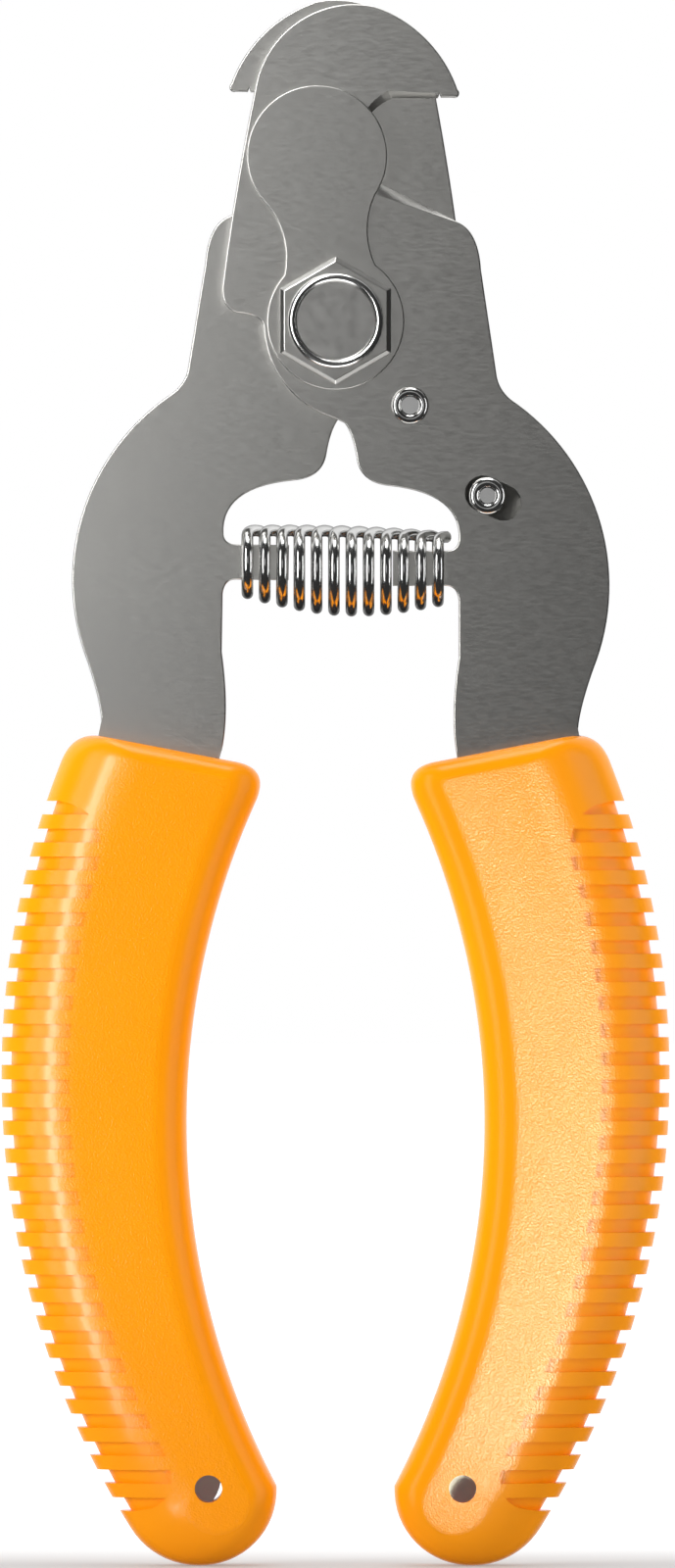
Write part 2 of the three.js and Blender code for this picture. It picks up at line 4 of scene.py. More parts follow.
import bmesh
import bpy
from mathutils import Matrix, Vector


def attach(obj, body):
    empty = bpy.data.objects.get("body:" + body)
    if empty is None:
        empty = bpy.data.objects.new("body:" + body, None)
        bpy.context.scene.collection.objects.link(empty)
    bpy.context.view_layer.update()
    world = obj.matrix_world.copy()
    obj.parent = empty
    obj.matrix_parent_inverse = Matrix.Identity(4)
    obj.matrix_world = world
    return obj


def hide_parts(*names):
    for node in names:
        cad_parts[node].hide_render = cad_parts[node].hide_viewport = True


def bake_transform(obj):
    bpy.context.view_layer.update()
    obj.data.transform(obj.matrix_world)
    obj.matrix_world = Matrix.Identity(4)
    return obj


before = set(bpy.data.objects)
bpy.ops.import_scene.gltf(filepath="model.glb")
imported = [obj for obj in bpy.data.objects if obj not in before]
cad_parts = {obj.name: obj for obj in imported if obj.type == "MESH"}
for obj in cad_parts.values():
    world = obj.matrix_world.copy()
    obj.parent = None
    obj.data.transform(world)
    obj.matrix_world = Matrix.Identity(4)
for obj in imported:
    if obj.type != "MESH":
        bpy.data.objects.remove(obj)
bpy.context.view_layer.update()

MM = 0.001
PIVOT_HEIGHT = 126.9
FOOT = -PIVOT_HEIGHT

# faces through the stack along Y, in millimetres, front negative
PLATE_FACE, PLATE_BACK = -2.5, -0.1
GUARD_FACE, GUARD_BACK = -3.45, -2.65
NUT_FACE, NUT_BACK = -5.15, -3.55
WASHER_FACE, WASHER_BACK = 2.6, 3.1
HEAD_FACE, HEAD_BACK = 3.2, 5.0
SEAT_GAP = 0.1

# how the rear stamping stands off the front one's mirrored place, in degrees and (x, z)
REAR_TILT = 0.85
REAR_SHIFT = (1.45, 0.5)
OPENING = 34

GRIP_HALF = 6.25
RIB_COUNT = 25
RIB_TOP, RIB_FOOT = -50.3, FOOT + 5.6
GROOVE_HEIGHT = 1.38
GROOVE_DEPTH = 1.0
GROOVE_FACE_DEPTH = 0.3
TANG_COVER_OUT, TANG_COVER_IN = 3.6, 4.6
TANG_GAP = 0.12
ARM_SIDES = (12.4, 24.7)
GRIP_HOLE = (12.95, FOOT + 7.9)
GRIP_HOLE_RADIUS = 1.4
BAND_WIDTH = 7.0
BAND_ENDS = ((-48.9, 6.5), (RIB_FOOT, 6.4))     # height, and how far before it the band narrows
BAND_RUNOUT = 0.97

PLATE_EDGE = 0.15
PIVOT_HOLE = 3.6
GUARD_HEAD = (-1.9, 16.85)
GUARD_HEAD_RADIUS = 7.15
GUARD_FOOT_RADIUS = 7
GUARD_HALF_NECK = 4.25
GUARD_WAIST_SHARE = 0.47
GUARD_HEAD_TURN, GUARD_FOOT_TURN = 130, 42

GUIDE_RIVET = (7.6, -8.6)
LOCK_STUD = (15.5, -17.8)
LOCK_WAY = (0.9116, -0.411)
LOCK_SLOT_REACH = (-0.52, 1.78)
LOCK_SLOT_RADIUS = 1.83
NOTCH_REACH = (6.8, 12)
NOTCH_SIDES = (-5.33, -2.1)
RIVET_RING = 1.9


# ---------------------------------------------------------------- outlines

def circle_through(a, b, c):
    """Centre and radius of the circle through three points, and whether they turn left."""
    (ax, az), (bx, bz), (cx, cz) = a, b, c
    d = 2 * (ax * (bz - cz) + bx * (cz - az) + cx * (az - bz))
    sa, sb, sc = ax * ax + az * az, bx * bx + bz * bz, cx * cx + cz * cz
    x = (sa * (bz - cz) + sb * (cz - az) + sc * (az - bz)) / d
    z = (sa * (cx - bx) + sb * (ax - cx) + sc * (bx - ax)) / d
    return x, z, math.hypot(ax - x, az - z), d > 0


class Outline:
    """A closed outline drawn as lines, bends and arcs, kept as points."""

    def __init__(self, x, z):
        self.points = [(x, z)]

    def line(self, x, z):
        self.points.append((x, z))
        return self

    def bend(self, cx, cz, x, z, steps=14):
        x0, z0 = self.points[-1]
        for k in range(1, steps + 1):
            t = k / steps
            s = 1 - t
            self.points.append((s * s * x0 + 2 * s * t * cx + t * t * x,
                                s * s * z0 + 2 * s * t * cz + t * t * z))
        return self

    def arc(self, through, end, steps=None):
        start = self.points[-1]
        x, z, radius, left = circle_through(start, through, end)
        a0 = math.atan2(start[1] - z, start[0] - x)
        a1 = math.atan2(end[1] - z, end[0] - x)
        sweep = (a1 - a0) % (2 * math.pi)
        if not left:
            sweep -= 2 * math.pi
        steps = steps or max(6, int(abs(sweep) / math.radians(2.5)))
        for k in range(1, steps + 1):
            angle = a0 + sweep * k / steps
            self.points.append((x + radius * math.cos(angle), z + radius * math.sin(angle)))
        return self

    def closed(self):
        (x0, z0), (x1, z1) = self.points[0], self.points[-1]
        if math.hypot(x0 - x1, z0 - z1) < 1e-3:
            return self.points[:-1]
        return self.points


def disc(centre, radius, steps=96):
    """Points of a circle."""
    return [(centre[0] + radius * math.cos(2 * math.pi * k / steps),
             centre[1] + radius * math.sin(2 * math.pi * k / steps)) for k in range(steps)]


def disc_turned(radius, sides, degrees):
    """Corners of a regular shape about the pivot, the first one at an angle."""
    angles = [math.radians(360 / sides * k + degrees) for k in range(sides)]
    return [(radius * math.cos(angle), radius * math.sin(angle)) for angle in angles]


def capsule(a, b, radius, steps=24):
    """Outline of a slot with round ends about a and b."""
    turn = math.atan2(b[1] - a[1], b[0] - a[0])
    points = []
    for centre, start in ((b, turn - math.pi / 2), (a, turn + math.pi / 2)):
        for k in range(steps + 1):
            angle = start + math.pi * k / steps
            points.append((centre[0] + radius * math.cos(angle),
                           centre[1] + radius * math.sin(angle)))
    return points


def stepped_along(point, way, distance):
    return (point[0] + way[0] * distance, point[1] + way[1] * distance)


# ---------------------------------------------------------------- meshes

def point_at(x, y, z):
    """A point given in millimetres from the pivot, in the frame's metres."""
    return Vector((x, y, z + PIVOT_HEIGHT)) * MM


def new_object(name, bm):
    bmesh.ops.remove_doubles(bm, verts=bm.verts, dist=1e-7)
    bmesh.ops.recalc_face_normals(bm, faces=bm.faces)
    mesh = bpy.data.meshes.new(name)
    bm.to_mesh(mesh)
    bm.free()
    piece = bpy.data.objects.new(name, mesh)
    bpy.context.scene.collection.objects.link(piece)
    return piece


def stacked(name, layers):
    """A closed solid through outlines of equal length. layers is a list of (y, points)."""
    bm = bmesh.new()
    rings = [[bm.verts.new(point_at(x, y, z)) for x, z in points] for y, points in layers]
    count = len(rings[0])
    for low, high in zip(rings, rings[1:]):
        for k in range(count):
            n = (k + 1) % count
            bm.faces.new((low[k], low[n], high[n], high[k]))
    bm.faces.new(list(reversed(rings[0])))
    bm.faces.new(rings[-1])
    return new_object(name, bm)


def slab(name, points, face, back):
    return stacked(name, [(face, points), (back, points)])


def inset(points, distance):
    """The outline drawn in by a distance, corner by corner."""
    area = sum(a[0] * b[1] - b[0] * a[1] for a, b in zip(points, points[1:] + points[:1]))
    side = 1 if area > 0 else -1
    result = []
    for k, here in enumerate(points):
        before, after = Vector(points[k - 1]), Vector(points[(k + 1) % len(points)])
        first = (Vector(here) - before).normalized()
        second = (after - Vector(here)).normalized()
        inward = Vector((-(first.y + second.y), first.x + second.x)).normalized() * side
        spread_out = max(abs(inward.dot(Vector((-first.y, first.x)))), 0.5)
        result.append(tuple(Vector(here) + inward * distance / spread_out))
    return result


def eased_slab(name, points, face, back, radius):
    """A slab whose face and back edges are rounded."""
    turns = [math.radians(angle) for angle in (90, 60, 30, 0)]
    front = [(face + radius * (1 - math.sin(t)), inset(points, radius * (1 - math.cos(t))))
             for t in turns]
    rear = [(face + back - y, outline) for y, outline in reversed(front)]
    return stacked(name, front + rear)


def turned(name, profile, centre, segments=96):
    """A solid turned about the Y axis through centre. profile lists (radius, y)."""
    bm = bmesh.new()
    rings = []
    for radius, y in profile:
        if radius < 1e-6:
            rings.append([bm.verts.new(point_at(centre[0], y, centre[1]))])
        else:
            rings.append([bm.verts.new(point_at(x, y, z))
                          for x, z in disc(centre, radius, segments)])
    for low, high in zip(rings, rings[1:]):
        for k in range(segments):
            n = (k + 1) % segments
            corners = [low[k % len(low)], low[n % len(low)],
                       high[n % len(high)], high[k % len(high)]]
            unique = list(dict.fromkeys(corners))
            if len(unique) > 2:
                bm.faces.new(unique)
    return new_object(name, bm)


def rounded(profile, radius_at, steps=6):
    """Replaces corners of a profile by arcs. radius_at maps a corner's index to its radius."""
    result = []
    for k, point in enumerate(profile):
        radius = radius_at.get(k, 0)
        if not radius:
            result.append(point)
            continue
        before, after, here = Vector(profile[k - 1]), Vector(profile[k + 1]), Vector(point)
        a = here + (before - here).normalized() * radius
        b = here + (after - here).normalized() * radius
        for j in range(steps + 1):
            t = j / steps
            result.append(tuple(a * (1 - t) ** 2 + here * 2 * t * (1 - t) + b * t ** 2))
    return result


def carve(piece, tool, operation="DIFFERENCE"):
    """Cuts the tool out of the piece, or joins it on, and removes the tool."""
    cutter = piece.modifiers.new("carve", "BOOLEAN")
    cutter.operation = operation
    cutter.solver = "EXACT"
    cutter.object = tool
    settle(piece)
    bpy.data.objects.remove(tool)
    return piece


def settle(piece):
    """Makes the piece's modifiers part of its mesh."""
    bpy.context.view_layer.update()
    result = bpy.data.meshes.new_from_object(
        piece.evaluated_get(bpy.context.evaluated_depsgraph_get()))
    piece.modifiers.clear()
    piece.data = result
    return piece


def flatten_shading(piece, angle=40):
    """Shades rounded edges smooth and leaves the broad faces flat."""
    piece.data.shade_smooth()
    piece.data.set_sharp_from_angle(angle=math.radians(angle))
    weigh = piece.modifiers.new("weigh", "WEIGHTED_NORMAL")
    weigh.keep_sharp = True
    weigh.weight = 100
    return settle(piece)


def soften(piece, width, angle=35, segments=2):
    """Rounds the sharp edges and shades the rest smooth."""
    piece.data.shade_smooth()
    edge = piece.modifiers.new("edge", "BEVEL")
    edge.width = width * MM
    edge.segments = segments
    edge.limit_method = "ANGLE"
    edge.angle_limit = math.radians(angle)
    edge.harden_normals = True
    return settle(piece)


def smooth_below(piece, angle):
    piece.data.shade_smooth()
    piece.data.set_sharp_from_angle(angle=math.radians(angle))
    return piece


def turn_about(piece):
    """Places a copy of the front stamping as the rear one."""
    pivot = Vector((0, 0, PIVOT_HEIGHT * MM))
    move = Matrix.Translation(pivot + Vector((REAR_SHIFT[0], 0, REAR_SHIFT[1])) * MM)
    turn = Matrix.Rotation(math.radians(REAR_TILT), 4, "Y") @ Matrix.Rotation(math.pi, 4, "Z")
    piece.data.transform(move @ turn @ Matrix.Translation(-pivot))
    return piece


# ---------------------------------------------------------------- grips

GRIP_BELLY = 34.1
GRIP_TOP = -42.4
GRIP_END = 8.05
TOP_SLOPE = 0.192
TOP_MIDDLE = 23.35
GRIP_LOW = FOOT + 12
GRIP_SHOULDER = GRIP_TOP - 4.5
BELLY_HEIGHT = GRIP_SHOULDER + (GRIP_LOW - GRIP_SHOULDER) * 0.4426
OUTER = circle_through((GRIP_BELLY - 5.33, GRIP_SHOULDER), (GRIP_BELLY, BELLY_HEIGHT),
                       (GRIP_BELLY - 8.62, GRIP_LOW))
INNER = circle_through((GRIP_BELLY - 26.23, GRIP_TOP - 6),
                       (GRIP_BELLY - 18.9, (GRIP_TOP - 6 + GRIP_LOW) / 2),
                       (GRIP_BELLY - 26.18, GRIP_LOW))


def side_of(circle, height, beyond=0.0):
    """Where the right half of a circle, made wider by an amount, is at a height."""
    x, z, radius, _ = circle
    return x + math.sqrt((radius + beyond) ** 2 - (height - z) ** 2)


def top_edge(x, below):
    return GRIP_TOP + (x - TOP_MIDDLE) * TOP_SLOPE - below


def top_corner(circle, beyond, below):
    """Where a side meets the sloping top edge, found by stepping towards it."""
    height = GRIP_TOP
    for _ in range(8):
        height = top_edge(side_of(circle, height, beyond), below)
    return side_of(circle, height, beyond), height


def grip_outline(inner, outer, top, end):
    """The grip's outline, drawn in by its own amount on each side."""
    centre = (GRIP_BELLY - 20.05, FOOT + GRIP_END)
    outwards = math.atan2(centre[1] - OUTER[1], centre[0] - OUTER[0])
    left = top_corner(INNER, inner, top)
    right = top_corner(OUTER, -outer, top)
    left_reach = max(3.6 - (inner + top) / 2, 0.6)
    right_reach = max(3.0 - (outer + top) * 0.3, 0.6)
    start = (side_of(INNER, left[1] - left_reach, inner), left[1] - left_reach)
    shape = Outline(*start)
    shape.bend(*left, left[0] + left_reach, top_edge(left[0] + left_reach, top))
    shape.line(right[0] - right_reach, top_edge(right[0] - right_reach, top))
    shape.bend(*right, side_of(OUTER, right[1] - right_reach, -outer), right[1] - right_reach)
    low = stepped_along(centre, (math.cos(outwards), math.sin(outwards)), GRIP_END - outer)
    shape.arc((OUTER[0] + OUTER[2] - outer, OUTER[1]), low, steps=56)
    shape.arc((centre[0], FOOT + end), (centre[0] - GRIP_END + inner, centre[1]), steps=26)
    shape.arc((INNER[0] + INNER[2] + inner, INNER[1]), start, steps=48)
    return shape.closed()


# width across the face and depth along Y of each rounded edge
INNER_ROUND = (3.8, 3.2)
OUTER_ROUND = (7.9, 5.2)
TOP_ROUND = (2.2, 2.2)
END_ROUND = (4.6, 4.0)


def drawn_in(rounding, half, y):
    """How far an edge rounded by (width, depth) has come in at depth y of the grip."""
    width, depth = rounding
    above = min(max(abs(y) - (half - depth), 0.0) / depth, 1.0)
    return width * (1 - math.sqrt(1 - above * above))


def grip_solid(name, groove=0.0, face_groove=0.0, steps=20):
    """The grip without its ribs. The grooves' floor is the same, lower by the two amounts."""
    half = GRIP_HALF - face_groove
    outer = (OUTER_ROUND[0] - groove, OUTER_ROUND[1] - groove * 0.7)
    layers = []
    for k in range(-steps, steps + 1):
        y = half * math.sin(math.radians(90 * k / steps))
        layers.append((y, grip_outline(
            drawn_in(INNER_ROUND, half, y), groove + drawn_in(outer, half, y),
            drawn_in(TOP_ROUND, half, y), drawn_in(END_ROUND, half, y))))
    return stacked(name, layers)


def band_edge(height):
    """Inner limit of the ribbed band, which curves out to the grip's edge at both ends."""
    x = side_of(OUTER, height, -BAND_WIDTH)
    for end, span in BAND_ENDS:
        away = abs(height - end)
        if away < span:
            share = 1 - away / span
            x += BAND_WIDTH * (1 - math.sqrt(max(0.0, 1 - share * share))) * BAND_RUNOUT
    return x


def groove_bars():
    """One bar for each groove between ribs, long enough to pass out of the grip."""
    pitch = (RIB_TOP - RIB_FOOT) / RIB_COUNT
    outside, past_face, steps = 40, 8, 4
    bm = bmesh.new()
    for k in range(RIB_COUNT + 1):
        bottom = RIB_TOP - k * pitch
        heights = [bottom + GROOVE_HEIGHT * j / steps for j in range(steps + 1)]
        inner = [(band_edge(height), height) for height in heights]
        outline = inner + [(outside, heights[-1]), (outside, heights[0])]
        front = [bm.verts.new(point_at(x, -past_face, z)) for x, z in outline]
        back = [bm.verts.new(point_at(x, past_face, z)) for x, z in outline]
        for j in range(len(outline)):
            n = (j + 1) % len(outline)
            bm.faces.new((front[j], front[n], back[n], back[j]))
        bm.faces.new(list(reversed(front)))
        bm.faces.new(back)
    return new_object("groove_bars", bm)


def tang_outline(gap):
    """The part of a plate inside its grip, with a gap round it for the grip's pocket."""
    def outer(height):
        return side_of(OUTER, height, gap - TANG_COVER_OUT)

    def inner(height):
        return side_of(INNER, height, TANG_COVER_IN - gap)

    mouth, body_top = GRIP_TOP + 1, GRIP_TOP - 9.5
    inner_top, end_top = GRIP_TOP - 22.5, FOOT + 8.6
    left, right = ARM_SIDES[0] - gap, ARM_SIDES[1] + gap
    shape = Outline(right, mouth)
    shape.line(left, mouth).line(left, GRIP_TOP - 2).line(inner(inner_top), inner_top)
    shape.arc((inner(INNER[1]), INNER[1]), (inner(end_top), end_top))
    shape.arc(((inner(end_top) + outer(end_top)) / 2, FOOT + 4.2 - gap), (outer(end_top), end_top))
    shape.arc((outer(OUTER[1]), OUTER[1]), (outer(body_top), body_top))
    return shape.closed()


def make_grip(name, body, node, mirrored):
    """A ribbed cover on a tang. The left one is the right one mirrored, on the rear plate's tang."""
    bars = carve(groove_bars(), grip_solid("groove_floor", GROOVE_DEPTH, GROOVE_FACE_DEPTH))
    grip = carve(grip_solid(name), bars)
    carve(grip, slab("hole", disc(GRIP_HOLE, GRIP_HOLE_RADIUS), -9, 9))
    if mirrored:
        grip.data.transform(Matrix.Diagonal((-1, 1, 1, 1)))
        bm = bmesh.new()
        bm.from_mesh(grip.data)
        bmesh.ops.recalc_face_normals(bm, faces=bm.faces)
        bm.to_mesh(grip.data)
        bm.free()
    pocket = slab("pocket", tang_outline(TANG_GAP),
                  PLATE_FACE - TANG_GAP, PLATE_BACK + TANG_GAP)
    carve(grip, turn_about(pocket) if mirrored else pocket)
    smooth_below(grip, 32)
    grip.data.materials.clear()
    grip.data.materials.append(vinyl())
    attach(grip, body)
    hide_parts(node)
    return grip


# ---------------------------------------------------------------- plates

def plate_outline():
    """The stamping above its grip: arm, cutting edge, throat, hook, pivot disc and spring peg."""
    arm_end = GRIP_TOP - 2.1
    shape = Outline(24.75, GRIP_TOP + 0.8)
    shape.bend(24.9, -39.5, 26.3, -35.5).arc((27.95, -26.8), (17.9, -8))
    shape.bend(16.7, -7, 16.45, -5.6).line(14.85, 5.2).bend(14.6, 9.2, 12.45, 10.1)
    shape.line(3.8, 14.4).arc((2.45, 17.3), (5.85, 22.75))
    shape.line(10.45, 22.75).line(10.6, 23.2).line(10.75, 22.8).line(12, 22.8)
    shape.arc((12.6, 23.1), (12.45, 23.6)).arc((9.1, 28.9), (3.9, 32.1))
    shape.arc((-5.42, 29.25), (-8.2, 23.8)).bend(-10.4, 13, -11.56, 3.6)
    shape.bend(-11.7, 1.2, -9.9, 0.85).bend(-7.5, 0.7, -7.35, -0.6)
    shape.arc((-4.41, -7.31), (-0.45, -9.75)).bend(0.35, -10.1, 0.95, -10.4)
    shape.bend(1.8, -11.6, 2.15, -14).bend(2.5, -16.5, 5.5, -16.8)
    shape.bend(12.9, -17.6, 12.55, -22.4).bend(12.4, -23.4, 11.25, -23.4)
    shape.line(5.85, -23.4).line(5.85, -27).line(11.25, -27)
    shape.bend(12.4, -27, 12.55, -28.5).line(12.55, -34.4).bend(11.6, -40.5, ARM_SIDES[0], arm_end)
    shape.line(ARM_SIDES[1], arm_end)
    return shape.closed()


def throat_cutter():
    """Takes the ground bevel off the front face along both cutting edges and the throat."""
    depth, clear, outside = 1.0, 22.7, 16
    deep = Outline(12.6, 11.2).line(3.8, 14.4).arc((2.45, 17.3), (5.85, 22.75), 12)
    deep.line(10.2, 22.75).line(10.45, clear).line(outside, clear).line(outside, 11.2)
    wide = Outline(12.6, 9.97).line(3.2, 13.2).arc((1.75, 17.4), (5.3, 23.5), 12)
    wide.line(10.2, 23.25).line(10.45, clear).line(outside, clear).line(outside, 9.97)
    return stacked("throat_cutter", [(PLATE_FACE - 1, wide.closed()), (PLATE_FACE, wide.closed()),
                                     (PLATE_FACE + depth, deep.closed())])


def plate_stock(name):
    plate = eased_slab(name, plate_outline(), PLATE_FACE, PLATE_BACK, PLATE_EDGE)
    carve(plate, slab("tang", tang_outline(0), PLATE_FACE, PLATE_BACK), "UNION")
    return carve(plate, throat_cutter())


def pivot_drill():
    return slab("pivot_drill", disc((0, 0), PIVOT_HOLE), -6, 6)


def finish_plate(plate, body, node):
    flatten_shading(plate)
    plate.data.materials.clear()
    plate.data.materials.append(blade_steel())
    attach(plate, body)
    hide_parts(node)
    return plate


def make_front_plate():
    plate = carve(plate_stock("front_handle_plate"), pivot_drill())
    ends = [stepped_along(LOCK_STUD, LOCK_WAY, reach) for reach in LOCK_SLOT_REACH]
    carve(plate, slab("lock_slot", capsule(*ends, LOCK_SLOT_RADIUS), -6, 0.5))
    carve(plate, slab("rivet_hole", disc(GUIDE_RIVET, 1.3), -6, 0.5))
    return finish_plate(plate, "front", "front_plate")


def lock_notch(turn):
    """The gap in the rear plate's disc that the lock's nose drops into, turned in degrees."""
    length = math.hypot(*GUIDE_RIVET)
    way = (GUIDE_RIVET[0] / length, GUIDE_RIVET[1] / length)
    side = (-way[1], way[0])
    (floor, mouth), (low, high) = NOTCH_REACH, NOTCH_SIDES
    swing = math.radians(turn)
    points = []
    for reach, offset in ((floor, low), (mouth, low), (mouth, high), (floor, high)):
        x, z = way[0] * reach + side[0] * offset, way[1] * reach + side[1] * offset
        points.append((x * math.cos(swing) + z * math.sin(swing),
                       z * math.cos(swing) - x * math.sin(swing)))
    return slab("lock_notch", points, -1, 4)


def make_rear_plate():
    plate = turn_about(plate_stock("rear_handle_plate"))
    carve(plate, pivot_drill())
    carve(plate, lock_notch(0))
    carve(plate, lock_notch(-OPENING))
    return finish_plate(plate, "rear", "rear_plate")


# ---------------------------------------------------------------- guard, pivot, rivets, lock

def guard_outline():
    """A round head and a round foot joined by a waist, about the line from foot to head."""
    reach = math.hypot(*GUARD_HEAD)
    up = (GUARD_HEAD[0] / reach, GUARD_HEAD[1] / reach)
    right = (up[1], -up[0])

    def on_circle(distance, radius, degrees):
        angle = math.radians(degrees)
        centre = stepped_along((0, 0), up, distance)
        forward = stepped_along(centre, up, radius * math.cos(angle))
        return stepped_along(forward, right, radius * math.sin(angle))

    def foot(degrees):
        return on_circle(0, GUARD_FOOT_RADIUS, degrees)

    def head(degrees):
        return on_circle(reach, GUARD_HEAD_RADIUS, degrees)

    def waist(side):
        middle = stepped_along((0, 0), up, reach * GUARD_WAIST_SHARE)
        return stepped_along(middle, right, side * GUARD_HALF_NECK)

    shape = Outline(*foot(-GUARD_FOOT_TURN))
    shape.arc(foot(180), foot(GUARD_FOOT_TURN))
    shape.arc(waist(1), head(GUARD_HEAD_TURN))
    shape.arc(head(0), head(-GUARD_HEAD_TURN))
    shape.arc(waist(-1), foot(-GUARD_FOOT_TURN))
    return shape.closed()


def make_guard():
    guard = slab("swing_guard", guard_outline(), GUARD_FACE, GUARD_BACK)
    carve(guard, pivot_drill())
    soften(guard, 0.12)
    guard.data.materials.clear()
    guard.data.materials.append(blade_steel())
    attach(guard, "guard")
    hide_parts("nail_guard")
    return guard


def make_nut():
    """A hexagon nut with its edges taken off in front and behind."""
    across_flats = 11.3

    def hexagon(inwards):
        return disc_turned(across_flats / math.sqrt(3) - inwards * 2 / math.sqrt(3), 6, 30)

    nut = stacked("hex_nut", [(NUT_FACE, hexagon(0.42)), (NUT_FACE + 0.3, hexagon(0)),
                              (NUT_BACK - 0.2, hexagon(0)), (NUT_BACK, hexagon(0.3))])
    carve(nut, pivot_drill())
    soften(nut, 0.07, angle=20)
    nut.data.materials.clear()
    nut.data.materials.append(blade_steel())
    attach(nut, "front")
    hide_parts("pivot_nut")
    return nut


def bright(piece, body, *nodes, smooth=30, paint=None):
    """Finishes a plated piece and puts it on its body in place of its CAD nodes."""
    smooth_below(piece, smooth)
    piece.data.materials.clear()
    piece.data.materials.append(paint or bright_steel())
    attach(piece, body)
    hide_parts(*nodes)
    return piece


def rolled_ring(flat, rim, face, height, steps=12):
    """Half round profile from a sunken flat's edge out to the rim, foremost at face."""
    middle, half_ring = (flat + rim) / 2, (rim - flat) / 2
    ring = []
    for k in range(steps + 1):
        angle = math.pi * (1 - k / steps)
        ring.append((middle + half_ring * math.cos(angle),
                     face + height - height * math.sin(angle)))
    return ring


def make_bolt():
    """The pivot screw: its front end is rolled over the nut, its slotted head is behind."""
    seat, shank, head = NUT_FACE - SEAT_GAP, 3.5, 6.2
    end_face, roll, flat, rim = seat - 0.75, 0.42, 4.0, 4.85
    sunken = end_face + roll
    profile = [(0, sunken), (flat - 0.05, sunken)] + rolled_ring(flat, rim, end_face, roll)[1:]
    profile += [(rim, seat), (shank, seat), (shank, HEAD_FACE)]
    profile += rounded([(shank, HEAD_FACE), (head, HEAD_FACE), (head, HEAD_BACK), (0, HEAD_BACK)],
                       {1: 0.3, 2: 1.1})[1:]
    bolt = turned("pivot_screw", profile, (0, 0), 128)
    half_slot, slot_floor = 0.7, 4.2
    corners = [(-9, -half_slot), (9, -half_slot), (9, half_slot), (-9, half_slot)]
    carve(bolt, slab("driver_slot", corners, slot_floor, 8))
    return bright(bolt, "front", "pivot_bolt", paint=screw_steel())


def make_washer():
    bore, rim, edge = 3.65, 5.6, 0.1
    profile = [(bore, WASHER_FACE), (rim - edge, WASHER_FACE), (rim, WASHER_FACE + edge),
               (rim, WASHER_BACK - edge), (rim - edge, WASHER_BACK), (bore, WASHER_BACK),
               (bore, WASHER_FACE)]
    washer = turned("thrust_washer", profile, (0, 0), 96)
    return bright(washer, "front", "pivot_washer")


def rivet_profile(shank, tail_face, tail_radius, flat):
    """A tubular rivet: a rolled ring round a sunken flat in front, a domed tail behind."""
    back = PLATE_FACE - SEAT_GAP
    face, roll = back - 0.7, 0.5
    turns = [math.radians(angle) for angle in range(0, 90, 15)]
    tail = [(tail_radius * math.cos(t), tail_face + 0.2 + 0.4 * math.sin(t)) for t in turns]
    neck = [(RIVET_RING, back), (shank, back), (shank, tail_face), (tail_radius, tail_face)]
    ring = rolled_ring(flat, RIVET_RING, face, roll)
    return [(0, face + roll)] + ring + neck + tail + [(0, tail_face + 0.6)]


def make_rivets():
    """The guide rivet, whose tail holds the lock bar, and the stud that the button sits on."""
    guide = turned("guide_pin", rivet_profile(1.2, 1.9, 2.2, 0.9), GUIDE_RIVET, 64)
    guide = bright(guide, "front", "guide_rivet")
    stud = turned("thumb_stud", rivet_profile(0.8, 4.25, 1.5, 0.8), LOCK_STUD, 64)
    return guide, bright(stud, "lock", "lock_stud")


def make_button():
    """The thumb button behind, with a knurled rim."""
    teeth, rim, groove, edge = 36, 3.4, 0.18, 0.5
    outer, inner = [], []
    for k in range(teeth * 4):
        angle = 2 * math.pi * k / (teeth * 4)
        way = (math.cos(angle), math.sin(angle))
        radius = rim - (groove if k % 4 in (2, 3) else 0)
        outer.append(stepped_along(LOCK_STUD, way, radius))
        inner.append(stepped_along(LOCK_STUD, way, radius - edge))
    button = stacked("thumb_button", [(1.95, inner), (2.2, outer), (3.75, outer), (4.15, inner)])
    carve(button, slab("stud_hole", disc(LOCK_STUD, 0.95), 1, 6))
    return bright(button, "lock", "lock_button", smooth=25)


def finish_lock_slide():
    """The forked bar keeps its CAD shape."""
    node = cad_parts["lock_slide"]
    for place in node.material_slots:
        place.material = blade_steel()


# ---------------------------------------------------------------- spring

def node_maths(tree, operation, a, b=None):
    """A Math node fed with numbers or sockets."""
    node = tree.nodes.new("ShaderNodeMath")
    node.operation = operation
    for socket, value in zip(node.inputs, (a, b)):
        if value is None:
            continue
        if isinstance(value, (int, float)):
            socket.default_value = value
        else:
            tree.links.new(value, socket)
    return node.outputs[0]


SPRING_SIZES = {"Turns": 11.5, "Wire Radius": 0.6 * MM, "End Radius": 3.2 * MM,
                "Belly Radius": 4.05 * MM, "Sag": 0.6 * MM, "Length": 20 * MM}
SPRING_POINTS = 921
ADVANCE = (0.41, 0.59)      # shares of a turn between which the wire steps to the next coil


